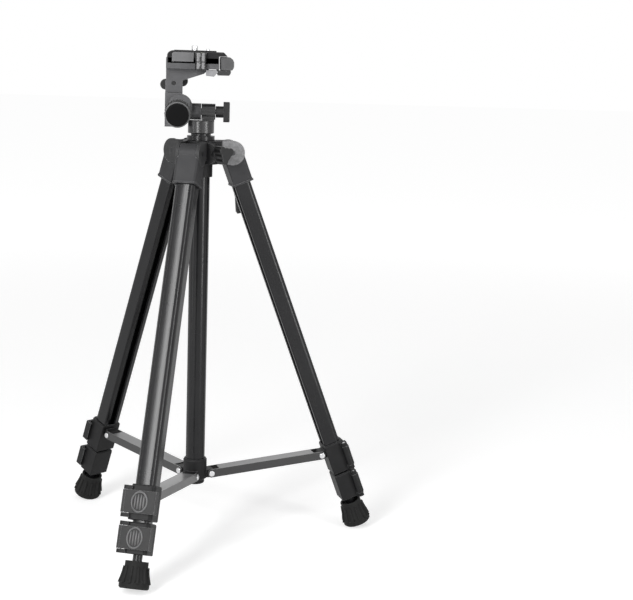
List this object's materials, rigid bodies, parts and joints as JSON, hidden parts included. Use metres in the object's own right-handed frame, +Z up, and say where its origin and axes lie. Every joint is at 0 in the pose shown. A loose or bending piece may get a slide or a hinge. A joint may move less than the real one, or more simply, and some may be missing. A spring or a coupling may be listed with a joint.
{
  "type": "camera tripod with pan and tilt head",
  "caption": "Compact folding camera tripod with flip-lock channel legs, braced spreader, cranked centre column and three-way pan head.",
  "frame": {"origin": "centre of the bounding box at floor level, under the tripod as it stands open on its three feet", "axes": "+Z up along the centre column; -Y towards the operator, along the pan handle; +X to the operator's right"},
  "size_m": [0.3376, 0.3458, 0.5283],
  "materials": {
    "black_plastic": "matte",
    "dark_grey_plastic": "matte",
    "grey_plastic": "matte",
    "knob_black": "satin",
    "black_anodised": "satin",
    "painted_steel": "satin",
    "bright_steel": "polished",
    "light_metal": "satin",
    "rubber": "matte",
    "pad_rubber": "matte"
  },
  "bodies": {
    "stand": {"shoulder": "grey_plastic", "shoulder_pins": "bright_steel", "guide_tube": "black_anodised", "guide_end_cap": "black_plastic"},
    "hub": {"spreader_hub": "black_plastic", "hub_pins": "bright_steel"},
    "front_brace_bar": {"front_brace": "painted_steel"},
    "front_leg": {"front_leg_cap": "dark_grey_plastic", "front_upper_tube": "black_anodised", "front_upper_clamp": "black_plastic", "front_leg_pins": "bright_steel"},
    "front_upper_lock": {"front_upper_lever": "black_plastic"},
    "front_middle_section": {"front_middle_tube": "black_anodised", "front_lower_clamp": "black_plastic", "front_lower_lever_pin": "bright_steel"},
    "front_lower_lock": {"front_lower_lever": "black_plastic"},
    "front_lower_section": {"front_lower_tube": "black_anodised", "front_foot": "rubber"},
    "right_brace_bar": {"right_brace": "painted_steel"},
    "right_leg": {"right_leg_cap": "dark_grey_plastic", "right_upper_tube": "black_anodised", "right_upper_clamp": "black_plastic", "right_leg_pins": "bright_steel"},
    "right_upper_lock": {"right_upper_lever": "black_plastic"},
    "right_middle_section": {"right_middle_tube": "black_anodised", "right_lower_clamp": "black_plastic", "right_lower_lever_pin": "bright_steel"},
    "right_lower_lock": {"right_lower_lever": "black_plastic"},
    "right_lower_section": {"right_lower_tube": "black_anodised", "right_foot": "rubber"},
    "left_brace_bar": {"left_brace": "painted_steel"},
    "left_leg": {"left_leg_cap": "dark_grey_plastic", "left_upper_tube": "black_anodised", "left_upper_clamp": "black_plastic", "left_leg_pins": "bright_steel"},
    "left_upper_lock": {"left_upper_lever": "black_plastic"},
    "left_middle_section": {"left_middle_tube": "black_anodised", "left_lower_clamp": "black_plastic", "left_lower_lever_pin": "bright_steel"},
    "left_lower_lock": {"left_lower_lever": "black_plastic"},
    "left_lower_section": {"left_lower_tube": "black_anodised", "left_foot": "rubber"},
    "column": {"centre_column": "black_anodised"},
    "crank": {"crank_shaft": "bright_steel", "crank_arm": "light_metal"},
    "crank_handle": {"crank_knob": "knob_black"},
    "column_lock": {"column_lock_knob": "knob_black"},
    "pan": {"pan_housing": "black_plastic"},
    "tilt_lock": {"tilt_lock_knob": "knob_black"},
    "tilt": {"tilt_arm": "dark_grey_plastic"},
    "handle": {"handle_rod": "black_anodised", "handle_grip": "rubber", "handle_cap": "knob_black"},
    "camera_platform": {"platform": "dark_grey_plastic"},
    "flip_lock": {"flip_knob": "knob_black"},
    "plate_lock": {"plate_lever": "black_plastic"},
    "plate": {"quick_release_plate": "black_plastic", "plate_pad": "pad_rubber"},
    "camera_bolt": {"camera_screw": "bright_steel"},
    "index_pin": {"plate_pin": "bright_steel"}
  },
  "joints": [
    {"name": "hub_slide", "type": "slide", "parent": "stand", "child": "hub", "axis": [0, 0, 1], "range_m": [0, 0.12212]},
    {"name": "front_brace_fold", "type": "hinge", "parent": "hub", "child": "front_brace_bar", "pos_m": [-0.0337, 0.00334, 0.07126], "axis": [0.9518, -0.3067, 0], "range_deg": [0, 96.44]},
    {"name": "front_leg_fold", "type": "hinge", "parent": "front_brace_bar", "child": "front_leg", "pos_m": [-0.07188, -0.11517, 0.08528], "axis": [-0.9518, 0.3067, 0], "range_deg": [0, 75.8]},
    {"name": "front_upper_lever_turn", "type": "hinge", "parent": "front_leg", "child": "front_upper_lock", "pos_m": [-0.09376, -0.13007, 0.1033], "axis": [-0.1081, -0.3355, -0.9358], "range_deg": [0, 110]},
    {"name": "front_middle_extend", "type": "slide", "parent": "front_leg", "child": "front_middle_section", "axis": [-0.1081, -0.3355, -0.9358], "range_m": [0, 0.285]},
    {"name": "front_lower_lever_turn", "type": "hinge", "parent": "front_middle_section", "child": "front_lower_lock", "pos_m": [-0.09718, -0.14266, 0.06868], "axis": [-0.1081, -0.3355, -0.9358], "range_deg": [0, 110]},
    {"name": "front_lower_extend", "type": "slide", "parent": "front_middle_section", "child": "front_lower_section", "axis": [-0.1081, -0.3355, -0.9358], "range_m": [0, 0.285]},
    {"name": "right_brace_fold", "type": "hinge", "parent": "hub", "child": "right_brace_bar", "pos_m": [-0.01186, 0.0231, 0.07126], "axis": [-0.2103, 0.9776, 0], "range_deg": [0, 96.44]},
    {"name": "right_leg_fold", "type": "hinge", "parent": "right_brace_bar", "child": "right_leg", "pos_m": [0.10987, 0.04929, 0.08528], "axis": [0.2103, -0.9776, 0], "range_deg": [0, 75.8]},
    {"name": "right_upper_lever_turn", "type": "hinge", "parent": "right_leg", "child": "right_upper_lock", "pos_m": [0.1337, 0.03779, 0.1033], "axis": [0.3446, 0.0741, -0.9358], "range_deg": [0, 110]},
    {"name": "right_middle_extend", "type": "slide", "parent": "right_leg", "child": "right_middle_section", "axis": [0.3446, 0.0741, -0.9358], "range_m": [0, 0.285]},
    {"name": "right_lower_lever_turn", "type": "hinge", "parent": "right_middle_section", "child": "right_lower_lock", "pos_m": [0.14633, 0.04112, 0.06868], "axis": [0.3446, 0.0741, -0.9358], "range_deg": [0, 110]},
    {"name": "right_lower_extend", "type": "slide", "parent": "right_middle_section", "child": "right_lower_section", "axis": [0.3446, 0.0741, -0.9358], "range_m": [0, 0.285]},
    {"name": "left_brace_fold", "type": "hinge", "parent": "hub", "child": "left_brace_bar", "pos_m": [-0.03989, 0.03213, 0.07126], "axis": [-0.7415, -0.6709, 0], "range_deg": [0, 96.44]},
    {"name": "left_leg_fold", "type": "hinge", "parent": "left_brace_bar", "child": "left_leg", "pos_m": [-0.12343, 0.12446, 0.08528], "axis": [0.7415, 0.6709, 0], "range_deg": [0, 75.8]},
    {"name": "left_upper_lever_turn", "type": "hinge", "parent": "left_leg", "child": "left_upper_lock", "pos_m": [-0.1254, 0.15085, 0.1033], "axis": [-0.2365, 0.2614, -0.9358], "range_deg": [0, 110]},
    {"name": "left_middle_extend", "type": "slide", "parent": "left_leg", "child": "left_middle_section", "axis": [-0.2365, 0.2614, -0.9358], "range_m": [0, 0.285]},
    {"name": "left_lower_lever_turn", "type": "hinge", "parent": "left_middle_section", "child": "left_lower_lock", "pos_m": [-0.13459, 0.16012, 0.06868], "axis": [-0.2365, 0.2614, -0.9358], "range_deg": [0, 110]},
    {"name": "left_lower_extend", "type": "slide", "parent": "left_middle_section", "child": "left_lower_section", "axis": [-0.2365, 0.2614, -0.9358], "range_m": [0, 0.285]},
    {"name": "column_lift", "type": "slide", "parent": "stand", "child": "column", "axis": [0, 0, 1], "range_m": [0, 0.2262]},
    {"name": "crank_turn", "type": "hinge", "parent": "stand", "child": "crank", "pos_m": [-0.01649, 0.01566, 0.41857], "axis": [0.3067, 0.9518, 0], "range_deg": [0, 2160.05]},
    {"name": "crank_knob_fold", "type": "hinge", "parent": "crank", "child": "crank_handle", "pos_m": [0.01236, 0.0631, 0.37234], "axis": [0.9167, -0.2954, 0.2689], "range_deg": [0, 90]},
    {"name": "column_lock_turn", "type": "hinge", "parent": "stand", "child": "column_lock", "pos_m": [-0.02848, 0.01953, 0.41857], "axis": [0.6709, -0.7415, 0], "range_deg": [0, 180]},
    {"name": "pan_turn", "type": "hinge", "parent": "column", "child": "pan", "pos_m": [-0.02848, 0.01953, 0.43078], "axis": [0, 0, 1], "continuous": true},
    {"name": "tilt_lock_turn", "type": "hinge", "parent": "tilt", "child": "tilt_lock", "pos_m": [-0.02848, 0.01953, 0.46077], "axis": [1, 0, 0], "range_deg": [0, 180]},
    {"name": "tilt_swing", "type": "hinge", "parent": "pan", "child": "tilt", "pos_m": [-0.02848, 0.01953, 0.46077], "axis": [1, 0, 0], "range_deg": [-80, 30]},
    {"name": "handle_twist", "type": "hinge", "parent": "tilt", "child": "handle", "pos_m": [-0.05048, 0.01953, 0.46577], "axis": [0, -1, 0], "range_deg": [0, 180]},
    {"name": "side_flip", "type": "hinge", "parent": "tilt", "child": "camera_platform", "pos_m": [-0.05738, 0.01953, 0.48947], "axis": [0, -1, 0], "range_deg": [0, 90]},
    {"name": "flip_lock_turn", "type": "hinge", "parent": "tilt", "child": "flip_lock", "pos_m": [-0.05738, 0.01953, 0.48947], "axis": [0, 1, 0], "range_deg": [0, 180]},
    {"name": "plate_lever_turn", "type": "hinge", "parent": "camera_platform", "child": "plate_lock", "pos_m": [-0.00548, 0.04378, 0.43078], "axis": [0, 0, 1], "range_deg": [0, 35], "stiffness_Nm_per_rad": 0.05},
    {"name": "plate_lift", "type": "slide", "parent": "camera_platform", "child": "plate", "axis": [0, 0, 1], "range_m": [0, 0.03]},
    {"name": "camera_screw_turn", "type": "hinge", "parent": "plate", "child": "camera_bolt", "pos_m": [-0.03648, 0.02753, 0.43078], "axis": [0, 0, 1], "continuous": true},
    {"name": "plate_pin_press", "type": "slide", "parent": "plate", "child": "index_pin", "axis": [0, 0, -1], "range_m": [0, 0.002], "stiffness_N_per_m": 300}
  ],
  "couplings": [
    {"joint": "front_brace_fold", "follows": "hub_slide", "rad_per_m": 13.782},
    {"joint": "front_leg_fold", "follows": "hub_slide", "rad_per_m": 10.832},
    {"joint": "right_brace_fold", "follows": "hub_slide", "rad_per_m": 13.782},
    {"joint": "right_leg_fold", "follows": "hub_slide", "rad_per_m": 10.832},
    {"joint": "left_brace_fold", "follows": "hub_slide", "rad_per_m": 13.782},
    {"joint": "left_leg_fold", "follows": "hub_slide", "rad_per_m": 10.832},
    {"joint": "crank_turn", "follows": "column_lift", "rad_per_m": 166.67}
  ]
}
